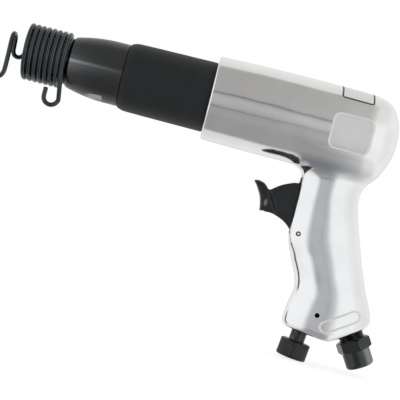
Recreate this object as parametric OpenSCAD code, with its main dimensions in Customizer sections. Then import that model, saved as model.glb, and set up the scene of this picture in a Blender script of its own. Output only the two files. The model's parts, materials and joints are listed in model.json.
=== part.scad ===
// Pistol-grip air hammer with a wound retainer spring on its muzzle.
// X runs from the muzzle to the rear, Z is up, and the origin is the mouth of the shank bore.

/* [Barrel] */
// Bore that takes the shank of the chisel
shank_d = 10.3; // [10:0.1:11]
// Length of the shank bore
shank_len = 39; // [35:1:44]
// Cylinder bore that the piston runs in
cylinder_d = 19.1; // [18:0.1:20]
// Length of the neck that carries the retainer spring
neck_len = 27.4; // [27.2:0.1:31]
// Length of the bare steel nose
nose_len = 35.2; // [32:0.2:42]
// Largest diameter of the nose
nose_d = 38.8; // [37.8:0.2:40]
// Distance across the two wrench flats
flats = 36.9; // [35.9:0.1:37.7]
// Turn of the wrench flats from upright
flats_turn = -15; // [-60:5:60]
// Diameter of the seat under the sleeve
seat_d = 35.2; // [34:0.2:36]
// Diameter of the threaded rear end
thread_d = 37.2; // [36.6:0.2:39]
// Length of the barrel inside the housing
thread_len = 40.8; // [36:0.2:44]
// Diameter of the exhaust ports
port_d = 4; // [3:0.5:5]

/* [Piston] */
// Length of the piston
piston_len = 40; // [34:1:46]

/* [Sleeve] */
// Visible length of the sleeve
sleeve_len = 54.8; // [50:0.2:60]
// Diameter of the sleeve at its rear end
sleeve_d = 44; // [43:0.2:45]
// Length of the sleeve that sits inside the housing
spigot_len = 3; // [2:0.5:4]

/* [Retainer spring] */
// Diameter of the spring wire
wire_d = 2.9; // [2.6:0.1:2.9]
// Outside diameter of the coils
coil_od = 35.4; // [34.8:0.1:36]
// Distance from one coil to the next
coil_pitch = 3.4; // [3.3:0.05:3.5]
// Bend radius of the tail loop
tail_r = 4.6; // [4:0.1:5]

/* [Housing] */
// Length of the housing along the barrel
housing_len = 118.8; // [116:0.2:124]
// Diameter of the housing at its front face
housing_d = 52.4; // [51:0.2:54]
// How much the housing swells at its middle, on the radius
swell = 0.9; // [0:0.1:1.5]
// Length of the rounded rear end
rear_len = 22.8; // [20:0.2:26]
// Length of the badge recess
badge_w = 24.6; // [20:0.2:26]
// Height of the badge recess
badge_h = 21; // [18:0.2:24]
// Depth of the badge recess
badge_depth = 0.7; // [0.4:0.1:1]

/* [Grip] */
// Distance from the face behind the trigger to the rear end of the housing
grip_back_x = 51.2; // [50:0.2:53]
// Front to back size of the grip at its waist
grip_depth = 37.4; // [35.5:0.1:39]
// Side to side thickness of the grip at its waist
grip_t = 30.6; // [28:0.2:34]
// Length of the grip below the housing, to the regulator seat
grip_len = 99.4; // [97:0.2:104]
// Radius of the rounded edge of the base
base_r = 4; // [3:0.5:5]
// Radius of the blend between the housing and the grip
blend_r = 6; // [5:0.5:7]

/* [Trigger] */
// Thickness of the trigger blade
trigger_t = 8.4; // [7:0.2:9.4]
// Width of the finger pad
pad_w = 13; // [11:0.5:15]
// Height of the oval that the pad's front shows
pad_h = 22; // [20:0.5:24]
// Diameter of the trigger pin
trigger_pin_d = 3; // [2.6:0.1:3.4]

/* [Throttle] */
// Diameter of the throttle bore in the grip
throttle_d = 12.1; // [11.4:0.1:12.8]
// Diameter of the throttle stem
stem_d = 5; // [4.6:0.1:5.4]
// Free length for the throttle spring
spring_len = 11.4; // [10.6:0.1:12]
// Diameter of the throttle spring wire
spring_wire = 0.9; // [0.7:0.1:1]

/* [Regulator] */
// Diameter of the regulator knob
knob_d = 19; // [17:0.5:21]
// Height of the regulator knob
knob_h = 10.7; // [9:0.1:12]
// Diameter of the neck between grip and knob
knob_neck_d = 9.8; // [9:0.1:10.4]
// Length of that neck
knob_neck = 6.7; // [5:0.1:8]
// Diameter of the plug inside the grip
plug_d = 11; // [10.6:0.1:12]
// Diameter of the roll pin that holds the plug
plug_pin_d = 3; // [2.6:0.1:3.2]
// Tilt of the regulator from upright
regulator_tilt = 6.5; // [4:0.5:9]

/* [Inlet] */
// Distance across the flats of the inlet hexagon
inlet_hex = 19.1; // [18.6:0.1:21]
// Height of the hexagon
inlet_hex_h = 7; // [6:0.5:8]
// Diameter of the thread that screws into the grip
inlet_thread_d = 15.8; // [15:0.1:16.6]
// Diameter of the collar beyond the hexagon
inlet_collar_d = 17.5; // [17:0.1:18]
// Length of the collar
inlet_collar_h = 10.8; // [9:0.1:12]
// Wall diameter of the threaded hose hole
hose_d = 11.3; // [11:0.1:11.8]
// Tilt of the inlet from upright
inlet_tilt = 31.7; // [29:0.1:34]

/* [Fits] */
// Clearance round a shaft that runs in a bore
run_gap = 0.05; // [0.02:0.01:0.09]
// Gap between a moving piece and what it passes
free_gap = 0.3; // [0.2:0.05:0.4]

/* [Hidden] */
$fn = 64;

// Stations along the barrel axis
x_nose = neck_len;
x_sleeve = x_nose + nose_len;
x_front = x_sleeve + sleeve_len;
x_rear = x_front + housing_len;
x_seat = x_front + spigot_len;
x_barrel = x_front + thread_len;
mid_x = x_front + housing_len * 0.4;

// Radii of the barrel and of what fits it
shank_r = shank_d / 2;
cylinder_r = cylinder_d / 2;
nose_r = nose_d / 2;
seat_r = seat_d / 2;
thread_r = thread_d / 2;
nose_lip = 1.8;
nose_edge = 3.5;
nose_crown = 26;
o_ring_r = 0.95;
ring_depth = 2 * o_ring_r + 0.02;
ring_half = o_ring_r + 0.15;
x_groove = x_seat + 4.1;
port_count = 6;

// Valve chest between the barrel and the floor of the housing bore
block_t = 8;
disc_t = 1.6;
disc_lift = 0.9;
disc_r = 12;
cap_t = 8.4;
gasket_t = 1.6;
chest_r = thread_r - 0.2;
dowel_r = 1.5;
dowel_at = 15.5;
x_cap = x_barrel + block_t;
x_gasket = x_cap + cap_t;
x_floor = x_gasket + gasket_t;
pocket_x = x_cap - disc_t - disc_lift - run_gap * 2;

// Retainer spring: coils, front hook and tail loop
wire_r = wire_d / 2;
coil_r = coil_od / 2 - wire_r;
coil_steps = 20;
coil_x = 0.7;
wire_sides = 6;
coil_start = -50;
coil_tail = 112;
coil_room = neck_len - coil_x - wire_r - coil_pitch * coil_tail / 360;
coil_end = floor(coil_room / coil_pitch) * 360 + coil_tail;
neck_r = coil_od / 2 - wire_d - 0.55;
hook_r = max(shank_r + 2.7, 7.8);

// Housing, grip and trigger places
housing_r = housing_d / 2;
trig_x = x_rear - grip_back_x;
under = housing_r + swell * 0.85;
slot_depth = 9.7;
x_slot = trig_x + slot_depth;
slot_top = 7;
slot_end = 45.6;
slot_half = trigger_t / 2 + 0.4;
pivot_back = 5.2;
pivot_drop = 41.3;
pivot = [trig_x + pivot_back, -under - pivot_drop];
throttle_drop = 20;
throttle_z = -under - throttle_drop;
badge_back = 20.3;
badge_drop = 2.1;
badge_x = trig_x + badge_back;
wall_gap = 0.02;

// Grip outlines: [depth below the housing, distance behind the trigger face]
grip_front = [
    [blend_r, 0], [38, 0], [47, 1.6], [57, 5.3], [67, 9.8], [74, 11.4], [83, 10.1], [90, 9.2], [98, 9.4]
];
// Grip outlines: [depth below the housing, distance behind the waist]
grip_back = [
    [-17, 1], [-11, 4.6], [-5, 4.8], [1, 2.1], [7, 0.2], [14, 0], [23, 2.3], [41, 8.3],
    [65, 17.5], [77, 23.3], [83, 25.2], [92, 25.4]
];
// Flat front of the grip: [depth below the housing, how far the oval is cut back]
grip_flat = [[0, 0], [blend_r, 4], [40, 4], [52, 2.2], [62, 0], [98, 0]];
// Grip thickness: [depth below the housing, added half thickness]
grip_side = [
    [-17, 7.5], [-10, 4.6], [-4, 2.4], [2, 1], [8, 0.3], [14, 0], [33, 0.1], [73, 1.2], [98, 0.6]
];
// Grip fullness: [depth below the housing, power of the oval]
grip_oval = [[-17, 6], [-6, 4.6], [0, 3.6], [7, 2.8], [15, 2.3], [24, 2.1], [98, 2.1]];
grip_top = -17;
grip_rows = 30;
grip_columns = 40;
edge_rows = 4;

// Seats on the base: regulator and inlet
regulator_back = 21.9;
regulator_at = [trig_x + regulator_back, -under - grip_len];
inlet_back = 52.4;
inlet_rise = 6.4;
inlet_at = [trig_x + inlet_back, -under - grip_len + inlet_rise];
ridge = 1.8;
plug_r = plug_d / 2;
plug_pin_r = plug_pin_d / 2;
plug_pin_depth = 13.5;
plug_pin_at = 4.8;
plug_len = 18;
meter_r = 4;
meter_len = 11;
meter_hole_r = 2.6;
passage_r = 3.2;
plug_groove_r = plug_pin_at - plug_pin_r - 0.2;
ring_groove_r = plug_r - ring_depth;
ring_at = 6;
inlet_r = inlet_thread_d / 2;
inlet_neck = 4;
inlet_thread_len = 12;
inlet_seal_t = 1.5;
inlet_bore_r = 4.6;
hose_r = hose_d / 2;
hose_depth = 15;
inlet_len = inlet_neck + inlet_hex_h + inlet_collar_h;
flange_t = 0.8;
flange_r = hose_r - 0.4;
z_flange = inlet_len - hose_depth - flange_t;

// Throttle places
throttle_r = throttle_d / 2;
stem_r = stem_d / 2;
slim_r = 1.8;
bushing_len = 7.5;
guide_len = 2.9;
bushing_bore_r = 4;
x_seal = x_slot + bushing_len;
seal_t = 1.5;
head_t = 2.5;
head_r = throttle_r - 1;
x_spring = x_seal + seal_t + head_t;
x_blind = x_spring + spring_len;
nose_face = trig_x + 5.1;
spring_turns = 5;
spring_r = head_r - spring_wire;

// Cubic curve through [place, value] pairs
function slope(k, i) =
    let (a = max(i - 1, 0), b = min(i + 1, len(k) - 1))
    (k[b][1] - k[a][1]) / (k[b][0] - k[a][0]);
function piece(k, u, i = 0) = i >= len(k) - 2 || u <= k[i + 1][0] ? i : piece(k, u, i + 1);
function curve(k, u) =
    let (i = piece(k, u), h = k[i + 1][0] - k[i][0], t = min(max((u - k[i][0]) / h, 0), 1))
    (2 * pow(t, 3) - 3 * t * t + 1) * k[i][1] + (3 * t * t - 2 * pow(t, 3)) * k[i + 1][1]
    + (pow(t, 3) - 2 * t * t + t) * h * slope(k, i) + (pow(t, 3) - t * t) * h * slope(k, i + 1);

// Smooth path through points in a plane or in space
function between(a, b, c, d, t) =
    0.5 * (2 * b + (c - a) * t + (2 * a - 5 * b + 4 * c - d) * t * t
    + (3 * b - a - 3 * c + d) * pow(t, 3));
function smooth(p, n) = concat(
    [for (i = [0:len(p) - 2], k = [0:n - 1])
        between(p[max(i - 1, 0)], p[i], p[i + 1], p[min(i + 2, len(p) - 1)], k / n)],
    [p[len(p) - 1]]
);

// Points of an arc
function arc(c, r, a0, a1, n) = [for (i = [0:n]) let (a = a0 + (a1 - a0) * i / n) c + r * [cos(a), sin(a)]];

// Tube swept along a path, with its ring frame carried along without twist
function unit(v) = v / norm(v);
function heading(p, i) = unit(p[min(i + 1, len(p) - 1)] - p[max(i - 1, 0)]);
function square_to(n, t) = unit(n - (n * t) * t);
function tube_frames(p) = [
    for (i = 0, n = square_to([0, 0.3, 1], heading(p, 0)); i < len(p);
        i = i + 1, n = i < len(p) ? square_to(n, heading(p, i)) : n) n
];
function strip(rows, columns) = [
    for (i = [0:rows - 2], j = [0:columns - 1], half = [0, 1])
        let (a = i * columns + j, b = i * columns + (j + 1) % columns)
        half == 0 ? [a, a + columns, b] : [b, a + columns, b + columns]
];
function fan(first, columns, up) = [
    for (j = [1:columns - 2]) up ? [first, first + j, first + j + 1] : [first, first + j + 1, first + j]
];
module tube(path, r, sides) {
    normals = tube_frames(path);
    points = [
        for (i = [0:len(path) - 1], j = [0:sides - 1])
            let (t = heading(path, i), n = normals[i], a = j * 360 / sides)
            path[i] + r * (cos(a) * n + sin(a) * cross(t, n))
    ];
    last = (len(path) - 1) * sides;
    polyhedron(points, concat(strip(len(path), sides), fan(0, sides, true), fan(last, sides, false)));
}

// Least gap between stretches of one tube that are far apart along it
function tube_gap(path, r, skip) = min([
    for (i = [0:len(path) - 1 - skip])
        min([for (j = [i + skip:len(path) - 1]) norm(path[i] - path[j])])
]) - 2 * r;

// Frames: along the barrel, at the regulator, at the inlet and in the trigger's plane
module revolve_x() { rotate([0, 90, 0]) rotate_extrude($fn = 96) children(); }
module rod_x(r, x0, x1) { translate([x0, 0, 0]) rotate([0, 90, 0]) cylinder(r = r, h = x1 - x0); }
module across(r, len) { rotate([90, 0, 0]) cylinder(r = r, h = len, center = true); }
module at_regulator() {
    translate([regulator_at.x, 0, regulator_at.y]) rotate([0, 180 + regulator_tilt, 0]) children();
}
module at_inlet() {
    translate([inlet_at.x, 0, inlet_at.y]) rotate([0, 180 - inlet_tilt, 0]) children();
}
module at_throttle() { translate([0, 0, throttle_z]) children(); }
module side_plate(t) { rotate([90, 0, 0]) linear_extrude(t, center = true) children(); }
module ring(r0, r1, h) {
    difference() {
        cylinder(r = r1, h = h);
        translate([0, 0, -1]) cylinder(r = r0, h = h + 2);
    }
}
module o_ring(r) { rotate_extrude() translate([r, 0]) circle(r = o_ring_r, $fn = 24); }

// Housing body, as an outline turned round the barrel axis
x_round = x_rear - rear_len;
swell_end = x_round + 6;
function swell_at(x) =
    let (reach = x < mid_x ? mid_x - x_front : swell_end - mid_x)
    swell * (1 - pow(min(abs(x - mid_x) / reach, 1), 2));
function rear_point(a) =
    let (x = x_round + rear_len * pow(sin(a), 2 / 3))
    [x, (housing_r + swell_at(x)) * cos(a)];
function flip(p) = [p.y, p.x];
module housing_body() {
    edge = 0.8;
    outline = concat(
        [[x_front, 0], [x_front, housing_r - edge]],
        [for (i = [0:9]) let (x = x_front + edge + (x_round - x_front - edge) * i / 10)
            [x, housing_r + swell_at(x)]],
        [for (a = [0:6:90]) rear_point(a)]
    );
    revolve_x() polygon([for (p = outline) flip(p)]);
}

// Grip, as a loft of ovals from inside the housing down to its two sloping seats
function base_z(x) =
    let (a = regulator_at.y - (x - regulator_at.x) * tan(regulator_tilt))
    let (b = inlet_at.y + (x - inlet_at.x) * tan(inlet_tilt))
    (a + b + sqrt(pow(a - b, 2) + ridge * ridge)) / 2;
function front_x(u) = trig_x + (u < 0 ? -blend_r + u * 0.4
    : u < blend_r ? -blend_r + sqrt(pow(blend_r, 2) - pow(blend_r - u, 2)) : curve(grip_front, u));
function back_x(u) = trig_x + grip_depth + curve(grip_back, u);
function half_t(u) = grip_t / 2 + curve(grip_side, u);
function bulge(c, oval) = sign(c) * pow(abs(c), 2 / oval);
function depth_at(x, t, lift) = grip_top + t * (-under - base_z(x) - lift - grip_top);
function grip_row(t, inset, lift) =
    let (x_front_guess = front_x(depth_at(regulator_at.x, t, lift)))
    let (x_back_guess = back_x(depth_at(inlet_at.x, t, lift)))
    let (front_depth = depth_at(x_front_guess, t, lift), back_depth = depth_at(x_back_guess, t, lift))
    let (x0 = front_x(front_depth) + inset, x1 = back_x(back_depth) - inset)
    let (tip = x0 - curve(grip_flat, front_depth), mid_depth = (front_depth + back_depth) / 2)
    let (half = half_t(mid_depth) - inset, oval = curve(grip_oval, mid_depth))
    [for (j = [0:grip_columns - 1])
        let (a = -j * 360 / grip_columns)
        let (x = max(x0, (tip + x1) / 2 + (x1 - tip) / 2 * bulge(cos(a), oval)))
        [x, half * bulge(sin(a), oval), -under - depth_at(x, t, lift)]];
module grip() {
    rows = concat(
        [for (i = [0:grip_rows]) grip_row(i / grip_rows, 0, base_r)],
        [for (i = [1:edge_rows]) let (a = i * 90 / edge_rows)
            grip_row(1, base_r * (1 - cos(a)), base_r * (1 - sin(a)))]
    );
    n = grip_columns;
    last = (len(rows) - 1) * n;
    half = n / 2;
    cap = [for (j = [0:half - 1]) [j, j + 1, (n - j - 1) % n, (n - j) % n]];
    bottom = [for (f = cap) [for (k = [3:-1:0]) last + f[k]]];
    polyhedron([for (r = rows) each r], concat(strip(len(rows), n), cap, bottom));
}

module badge_cut() {
    corner = badge_h / 5;
    floor_r = housing_r + swell_at(badge_x) - badge_depth;
    difference() {
        translate([badge_x, 0, -badge_drop]) rotate([90, 0, 0]) linear_extrude(housing_d) {
            square([badge_w, badge_h - 2 * corner], center = true);
            square([badge_w - 2 * corner, badge_h], center = true);
            for (x = [-1, 1], y = [-1, 1])
                translate([x * (badge_w / 2 - corner), y * (badge_h / 2 - corner)]) circle(corner);
        }
        rod_x(floor_r, badge_x - badge_w, badge_x + badge_w);
    }
}

// Air path from the hose thread past the regulator and throttle to the valve chest
module air_passages() {
    rod_x(bushing_bore_r + 2, x_floor - 1, x_slot + 9);
    translate([x_slot + 5, 0, throttle_z]) cylinder(r = 2.8, h = -throttle_z);
    at_inlet() translate([0, 0, -inlet_thread_len - inlet_seal_t - 6])
        cylinder(r = inlet_bore_r, h = 7);
    at_regulator() translate([0, 0, -plug_len - meter_len / 2]) rotate([0, -93, 0])
        cylinder(r = meter_hole_r, h = 22);
    at_regulator() translate([0, 0, -grip_len + 25]) cylinder(r = passage_r, h = grip_len - 25 - plug_len);
}

module housing() {
    color([0.78, 0.78, 0.79]) difference() {
        union() {
            housing_body();
            grip();
        }
        rod_x(sleeve_d / 2, x_front - 1, x_seat);
        rod_x(thread_r + wall_gap, x_seat - 1, x_floor);
        translate([trig_x - 1, -slot_half, -under - slot_end])
            cube([slot_depth + 1, 2 * slot_half, slot_end - slot_top]);
        translate([pivot.x, 0, pivot.y]) across(trigger_pin_d / 2 + wall_gap, 2 * grip_t);
        at_throttle() rod_x(throttle_r, x_slot - 0.5, x_blind);
        at_regulator() translate([0, 0, -plug_len]) cylinder(r = plug_r + run_gap, h = plug_len + 3);
        at_regulator() translate([0, 0, -plug_len - meter_len - 1])
            cylinder(r = meter_r + run_gap, h = meter_len + 2);
        at_regulator() translate([-plug_pin_at, 0, -plug_pin_depth])
            across(plug_pin_r + wall_gap, 2 * grip_t);
        at_inlet() translate([0, 0, -inlet_thread_len - inlet_seal_t])
            cylinder(r = inlet_r + wall_gap, h = inlet_thread_len + inlet_seal_t + 3);
        air_passages();
        badge_cut();
    }
}

module barrel() {
    crown_r = (pow(nose_crown, 2) + pow(nose_edge, 2)) / (2 * nose_edge);
    x_crown = x_nose + nose_lip + nose_crown;
    lean = asin(nose_crown / crown_r);
    outline = concat(
        [[0, shank_r], [0, neck_r - 0.8], [0.8, neck_r], [x_nose, neck_r]],
        arc([x_crown, nose_r - crown_r], crown_r, 90 + lean, 90, 8),
        [[x_sleeve, nose_r], [x_sleeve, seat_r], [x_seat, seat_r], [x_seat, thread_r]],
        [[x_groove - ring_half, thread_r], [x_groove - ring_half, thread_r - ring_depth]],
        [[x_groove + ring_half, thread_r - ring_depth], [x_groove + ring_half, thread_r]],
        [[x_barrel, thread_r], [x_barrel, cylinder_r], [shank_len, cylinder_r], [shank_len, shank_r]]
    );
    color([0.13, 0.13, 0.14]) difference() {
        revolve_x() polygon([for (p = outline) flip(p)]);
        for (side = [0, 180]) rotate([flats_turn + side, 0, 0])
            translate([x_nose - 1, -nose_r, flats / 2]) cube([nose_len - 8.4, nose_d, nose_r]);
        for (i = [0:port_count - 1]) rotate([i * 360 / port_count, 0, 0])
            translate([(x_sleeve + x_front) / 2 + 6, 0, 0]) cylinder(d = port_d, h = nose_r);
    }
}

module barrel_sleeve() {
    front_r = sleeve_d / 2 - 0.6;
    lip_r = front_r - 1;
    round_r = 1.2;
    slope_len = 7;
    inner = seat_r + wall_gap;
    relief = seat_r + 1.9;
    outline = concat(
        [[x_sleeve, inner]],
        arc([x_sleeve + round_r, lip_r - round_r], round_r, 180, 96, 6),
        [[x_sleeve + slope_len, front_r], [x_front - 1, sleeve_d / 2 - wall_gap]],
        [[x_seat, sleeve_d / 2 - wall_gap], [x_seat, inner]],
        [[x_front - 3, inner], [x_front - 5, relief], [x_sleeve + 14, relief], [x_sleeve + 12, inner]]
    );
    color([0.16, 0.16, 0.17]) revolve_x() polygon([for (p = outline) flip(p)]);
}

module barrel_o_ring() {
    color([0.08, 0.08, 0.08])
        translate([x_groove, 0, 0]) rotate([0, 90, 0]) o_ring(thread_r - o_ring_r);
}

module piston() {
    r = cylinder_r - run_gap;
    x0 = shank_len + 0.5;
    bevel = 1.2;
    groove = 0.5;
    color([0.62, 0.62, 0.64]) difference() {
        revolve_x() polygon([
            [0, x0], [r - bevel, x0], [r, x0 + bevel],
            [r, x0 + piston_len - bevel], [r - bevel, x0 + piston_len], [0, x0 + piston_len]
        ]);
        for (i = [1:3]) translate([x0 + i * piston_len / 4, 0, 0]) rotate([0, 90, 0])
            ring(r - groove, r + 1, 1);
    }
}

module dowel_holes() {
    for (side = [-1, 1]) translate([0, side * dowel_at, 0])
        rod_x(dowel_r + wall_gap, x_barrel + 2, x_gasket - 2);
}

module valve_block() {
    color([0.5, 0.5, 0.53]) difference() {
        rod_x(chest_r, x_barrel, x_cap);
        rod_x(disc_r + free_gap, pocket_x, x_cap + 1);
        rod_x(bushing_bore_r + 1, x_barrel - 1, x_cap);
        for (a = [45:90:315]) rotate([a, 0, 0]) translate([0, dowel_at - 1, 0])
            rod_x(dowel_r, x_barrel - 1, x_cap + 1);
        dowel_holes();
    }
}

module valve_disc() {
    color([0.66, 0.66, 0.68]) difference() {
        rod_x(disc_r, pocket_x + run_gap, pocket_x + run_gap + disc_t);
        rod_x(bushing_bore_r - 1, pocket_x - 1, x_cap + 1);
    }
}

module valve_cap() {
    color([0.5, 0.5, 0.53]) difference() {
        rod_x(chest_r, x_cap, x_gasket);
        rod_x(bushing_bore_r + 1, x_cap + cap_t / 2, x_gasket + 1);
        for (a = [0:60:300]) rotate([a, 0, 0]) translate([0, 0, disc_r - 4])
            rod_x(dowel_r, x_cap - 1, x_gasket + 1);
        dowel_holes();
    }
}

module valve_dowels() {
    color([0.7, 0.7, 0.72]) for (side = [-1, 1]) translate([0, side * dowel_at, 0])
        rod_x(dowel_r, x_barrel + 2.1, x_gasket - 2.1);
}

module valve_gasket() {
    color([0.25, 0.22, 0.2]) translate([x_gasket, 0, 0]) rotate([0, 90, 0])
        ring(disc_r, chest_r, gasket_t);
}

// Retainer spring: hook over the shank, close coils round the neck and a tail loop below
hook = [
    [-14.4, -6.2, -21.4], [-11.6, -6.8, -19.7], [-9.8, -7.4, -17.4], [-9.2, -hook_r, -13.4],
    [-9.3, -hook_r, -2.7], [-9.6, -hook_r * 0.86, 2.7], [-9.9, -hook_r * 0.5, 7], [-10, 0, 8.7],
    [-9.8, hook_r * 0.5, 8.1],
    [-9.7, hook_r * 0.9, 5.6], [-9.6, hook_r, 1.4], [-9.3, hook_r, -1.7], [-8.2, hook_r + 0.5, -3.8],
    [-6.4, coil_r - 5.6, -4.4], [-4.8, coil_r - 2.6, -3.4], [-3.7, coil_r - 0.4, -1.2], [-1.7, coil_r, 5.2]
];
coil = [
    for (i = [0:ceil((coil_end - coil_start) / 360 * coil_steps)])
        let (a = min(coil_start + i * 360 / coil_steps, coil_end))
        [coil_x + coil_pitch * a / 360, -coil_r * sin(a), coil_r * cos(a)]
];
coil_last = coil[len(coil) - 1];
tail_y = -5.6;
tail_x = coil_last.x + 1.5;
tail_drop = 6.7;
tail_z = -coil_od / 2 - tail_drop;
tail = concat(
    [[(coil_last.x + tail_x) / 2, (coil_last.y + tail_y) / 2 - 0.9, (coil_last.z + tail_z) / 2]],
    [for (p = arc([tail_x - tail_r, tail_z], tail_r, 0, -180, 8)) [p.x, tail_y, p.y]],
    [[tail_x - 2 * tail_r, tail_y, tail_z + 2.6], [tail_x - 2 * tail_r, tail_y, tail_z + 5]]
);
hook_path = smooth(concat(hook, [coil[0], coil[2]]), 3);
retainer_path = concat(
    [for (p = hook_path) if (norm(p - coil[0]) > wire_d && p.x < coil[0].x) p],
    coil,
    tail
);
echo(retainer_least_gap = tube_gap(retainer_path, wire_r, 12));
module retainer_spring() { color([0.15, 0.15, 0.16]) tube(retainer_path, wire_r, wire_sides); }

// Trigger: finger pad and blade, in the plane of the grip, from the trigger face and the housing
module at_trigger() { translate([trig_x, 0, -under]) children(); }
pad_front = [[-25.8, -14.4], [-28.5, -15.7], [-26, -18.9], [-22.8, -24.4], [-21.4, -29.4], [-21, -32.2]];
pad_rear = [
    [-11.9, -31.8], [-12.6, -29.6], [-13.9, -27.2], [-16.1, -23.8], [-18.4, -19.9], [-21.6, -16.1],
    [-25.8, -14.4]
];
pad_mid = -25.5;
blade_top = [[-18.4, -19.9], [-11.8, -14.8], [-5, -11.6], [0.6, -10.5], [2.4, -10.8]];
blade_rear = [[3.6, -13], [5.1, -17], [5.1, -23], [3.7, -27], [3.2, -36]];
blade_under = [[2.4, -42.2], [0.6, -40.4], [-2.8, -37.4], [-6.7, -35.1], [-13.8, -32.7], [-17.1, -32.5]];
module trigger() {
    boss = [pivot_back, -pivot_drop];
    boss_r = trigger_pin_d / 2 + 2.1;
    color([0.13, 0.13, 0.14]) at_trigger() difference() {
        union() {
            intersection() {
                side_plate(pad_w) polygon(concat(smooth(pad_front, 5), smooth(pad_rear, 4)));
                translate([0, 0, pad_mid]) rotate([0, -90, 0]) linear_extrude(grip_depth)
                    polygon([for (a = [0:15:345]) [pad_h / 2 * cos(a), pad_w / 2 * sin(a)]]);
            }
            side_plate(trigger_t) polygon(concat(smooth(blade_top, 4), blade_rear, smooth(blade_under, 4)));
            translate([boss.x, 0, boss.y]) across(boss_r, trigger_t);
        }
        translate([boss.x, 0, boss.y]) across(trigger_pin_d / 2 + run_gap, pad_w);
    }
}

module roll_pin(d, len) {
    difference() {
        across(d / 2, len);
        across(d / 4, len + 2);
    }
}
module trigger_pin() {
    color([0.6, 0.6, 0.62]) translate([pivot.x, 0, pivot.y]) roll_pin(trigger_pin_d, grip_t * 0.78);
}

module throttle_bushing() {
    groove = 0.8;
    color([0.72, 0.6, 0.35]) at_throttle() difference() {
        rod_x(throttle_r - wall_gap, x_slot, x_seal);
        rod_x(stem_r + run_gap, x_slot - 1, x_seal);
        rod_x(bushing_bore_r, x_slot + guide_len, x_seal + 1);
        rod_x(stem_r + run_gap + ring_depth, x_slot - 1, x_slot + 2 * ring_half);
        translate([x_slot + 3.6, 0, 0]) rotate([0, 90, 0]) ring(throttle_r - groove, throttle_r + 1, 2.8);
        for (a = [0:90:270]) rotate([a, 0, 0]) translate([x_slot + 5, 0, 0])
            cylinder(r = 1.2, h = throttle_r + 1);
    }
}

module throttle_stem_seal() {
    color([0.08, 0.08, 0.08]) at_throttle() translate([x_slot + ring_half, 0, 0]) rotate([0, 90, 0])
        o_ring(stem_r + run_gap + o_ring_r);
}

module throttle_valve() {
    tip_x = nose_face + free_gap + stem_r;
    color([0.68, 0.68, 0.7]) at_throttle() {
        translate([tip_x, 0, 0]) sphere(stem_r);
        rod_x(stem_r, tip_x, x_slot + 3.6);
        rod_x(slim_r, x_slot + 3, x_spring);
        rod_x(head_r, x_seal + seal_t, x_spring);
        rod_x(slim_r, x_spring - 0.5, x_spring + 3.4);
    }
}

module throttle_valve_seal() {
    color([0.1, 0.1, 0.1]) at_throttle() translate([x_seal, 0, 0]) rotate([0, 90, 0])
        ring(slim_r + run_gap, head_r, seal_t);
}

// Throttle spring, seated between the valve head and the blind end of its bore
spring_steps = 12;
spring_reach = spring_len - spring_wire - 2 * run_gap;
spring_path = [
    for (i = [0:spring_turns * spring_steps])
        let (a = i * 360 / spring_steps)
        [x_spring + run_gap + spring_wire / 2 + spring_reach * i / (spring_turns * spring_steps),
            (spring_r - spring_wire / 2) * sin(a), (spring_r - spring_wire / 2) * cos(a)]
];
echo(throttle_spring_least_gap = tube_gap(spring_path, spring_wire / 2, 6));
module throttle_spring() { color([0.55, 0.55, 0.57]) at_throttle() tube(spring_path, spring_wire / 2, 6); }

// Air regulator: knurled knob, neck, retained plug and metering stem in one turned piece
module air_regulator() {
    edge = 0.8;
    top = knob_neck + knob_h;
    groove = plug_pin_r + 0.3;
    outline = [
        [0, top], [knob_d / 2 - 2 * edge, top], [knob_d / 2, top - 2 * edge], [knob_d / 2, knob_neck + edge],
        [knob_d / 2 - edge, knob_neck], [knob_neck_d / 2, knob_neck], [knob_neck_d / 2, 0],
        [plug_r, -edge], [plug_r, -ring_at + ring_half],
        [ring_groove_r, -ring_at + ring_half], [ring_groove_r, -ring_at - ring_half],
        [plug_r, -ring_at - ring_half], [plug_r, groove - plug_pin_depth],
        [plug_groove_r, groove - plug_pin_depth], [plug_groove_r, -groove - plug_pin_depth],
        [plug_r, -groove - plug_pin_depth], [plug_r, free_gap - plug_len], [meter_r, free_gap - plug_len],
        [meter_r, -plug_len - meter_len], [0, -plug_len - meter_len]
    ];
    color([0.18, 0.18, 0.19]) at_regulator() difference() {
        rotate_extrude($fn = 96) polygon(outline);
        translate([0, 0, -plug_len - meter_len - 1]) cylinder(r = meter_hole_r, h = meter_len - 1);
        translate([0, 0, -plug_len - meter_len / 2]) rotate([0, -93, 0])
            cylinder(r = meter_hole_r, h = plug_r);
    }
}

module regulator_o_ring() {
    color([0.08, 0.08, 0.08]) at_regulator() translate([0, 0, -ring_at]) o_ring(plug_r - o_ring_r);
}

module regulator_pin() {
    color([0.5, 0.5, 0.52]) at_regulator() translate([-plug_pin_at, 0, -plug_pin_depth])
        roll_pin(plug_pin_d, grip_t * 0.5);
}

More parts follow.
